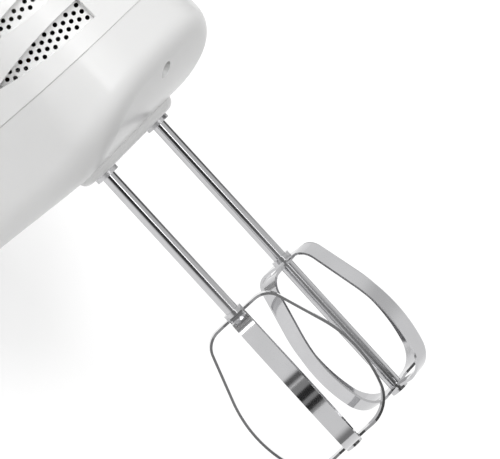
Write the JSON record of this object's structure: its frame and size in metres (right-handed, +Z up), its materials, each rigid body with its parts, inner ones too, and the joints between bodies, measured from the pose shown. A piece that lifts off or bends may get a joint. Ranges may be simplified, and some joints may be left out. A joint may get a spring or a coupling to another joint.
{
  "type": "hand mixer",
  "caption": "Electric hand mixer with a loop handle, pierced nose vents, a worm-driven pair of crossed-strip beaters, an eject button and a speed slider, standing on its heel.",
  "frame": {"origin": "centre of the flat heel face of the lower housing, on which the mixer stands", "axes": "+Z up from the heel towards the nose, +X from the handle towards the beaters, +Y across the body"},
  "size_m": [0.3025, 0.0961, 0.189],
  "materials": {
    "white_plastic": "gloss",
    "button_white": "satin",
    "chrome": "polished",
    "steel": "machined",
    "core_steel": "laminated",
    "copper": "enamelled wire",
    "bronze": "sintered",
    "nylon": "moulded",
    "black_plastic": "moulded",
    "carbon": "pressed",
    "inlet_rubber": "soft"
  },
  "bodies": {
    "body": {"lower_housing": "white_plastic", "upper_housing": "white_plastic", "handle": "white_plastic", "handle_cover": "white_plastic", "left_vent_grille": "white_plastic", "right_vent_grille": "white_plastic", "housing_screws": "steel", "cord_inlet": "inlet_rubber", "left_spindle_bush": "bronze", "right_spindle_bush": "bronze", "gear_frame": "steel", "stator_core": "core_steel", "upper_field_coil": "copper", "lower_field_coil": "copper", "left_brush_holder": "bronze", "right_brush_holder": "bronze", "left_carbon_brush": "carbon", "right_carbon_brush": "carbon", "front_bearing": "bronze", "rear_bearing": "bronze", "front_bearing_bracket": "steel", "rear_bearing_bracket": "steel", "speed_switch": "black_plastic", "eject_spring": "steel"},
    "rotor": {"worm_shaft": "steel", "armature_core": "core_steel", "armature_windings": "copper", "commutator": "copper", "cooling_fan": "black_plastic"},
    "eject_gear": {"eject_button": "button_white", "ejector_fork": "nylon"},
    "speed_knob": {"speed_slider": "button_white"},
    "left_drive": {"left_spindle": "steel", "left_worm_wheel": "nylon"},
    "left_pin": {"left_ejector_pin": "steel"},
    "left_beater": {"left_beater_shaft": "chrome", "left_beater_outer_loop": "chrome", "left_beater_inner_loop": "chrome"},
    "right_drive": {"right_spindle": "steel", "right_worm_wheel": "nylon"},
    "right_pin": {"right_ejector_pin": "steel"},
    "right_beater": {"right_beater_shaft": "chrome", "right_beater_outer_loop": "chrome", "right_beater_inner_loop": "chrome"}
  },
  "joints": [
    {"name": "left_beater_spin", "type": "hinge", "parent": "body", "child": "left_drive", "pos_m": [-0.014, 0.0205, 0.135], "axis": [-1, 0, 0], "continuous": true},
    {"name": "right_beater_spin", "type": "hinge", "parent": "body", "child": "right_drive", "pos_m": [-0.014, -0.0205, 0.135], "axis": [-1, 0, 0], "continuous": true},
    {"name": "motor_spin", "type": "hinge", "parent": "body", "child": "rotor", "pos_m": [-0.014, 0, 0.135], "axis": [0, 0, 1], "continuous": true},
    {"name": "eject_press", "type": "slide", "parent": "body", "child": "eject_gear", "axis": [1, 0, 0], "range_m": [0, 0.007], "stiffness_N_per_m": 600, "springref_m": -0.005, "deforming": ["eject_spring"]},
    {"name": "speed_slide", "type": "slide", "parent": "body", "child": "speed_knob", "axis": [0, 0, 1], "range_m": [0, 0.018]},
    {"name": "left_pin_push", "type": "slide", "parent": "left_drive", "child": "left_pin", "axis": [1, 0, 0], "range_m": [0, 0.007]},
    {"name": "left_beater_pull", "type": "slide", "parent": "left_pin", "child": "left_beater", "axis": [1, 0, 0], "range_m": [0, 0.045]},
    {"name": "right_pin_push", "type": "slide", "parent": "right_drive", "child": "right_pin", "axis": [1, 0, 0], "range_m": [0, 0.007]},
    {"name": "right_beater_pull", "type": "slide", "parent": "right_pin", "child": "right_beater", "axis": [1, 0, 0], "range_m": [0, 0.045]}
  ],
  "couplings": [
    {"joint": "right_beater_spin", "follows": "left_beater_spin", "ratio": -1},
    {"joint": "motor_spin", "follows": "left_beater_spin", "ratio": -13},
    {"joint": "left_pin_push", "follows": "eject_press", "ratio": 1},
    {"joint": "right_pin_push", "follows": "eject_press", "ratio": 1}
  ]
}
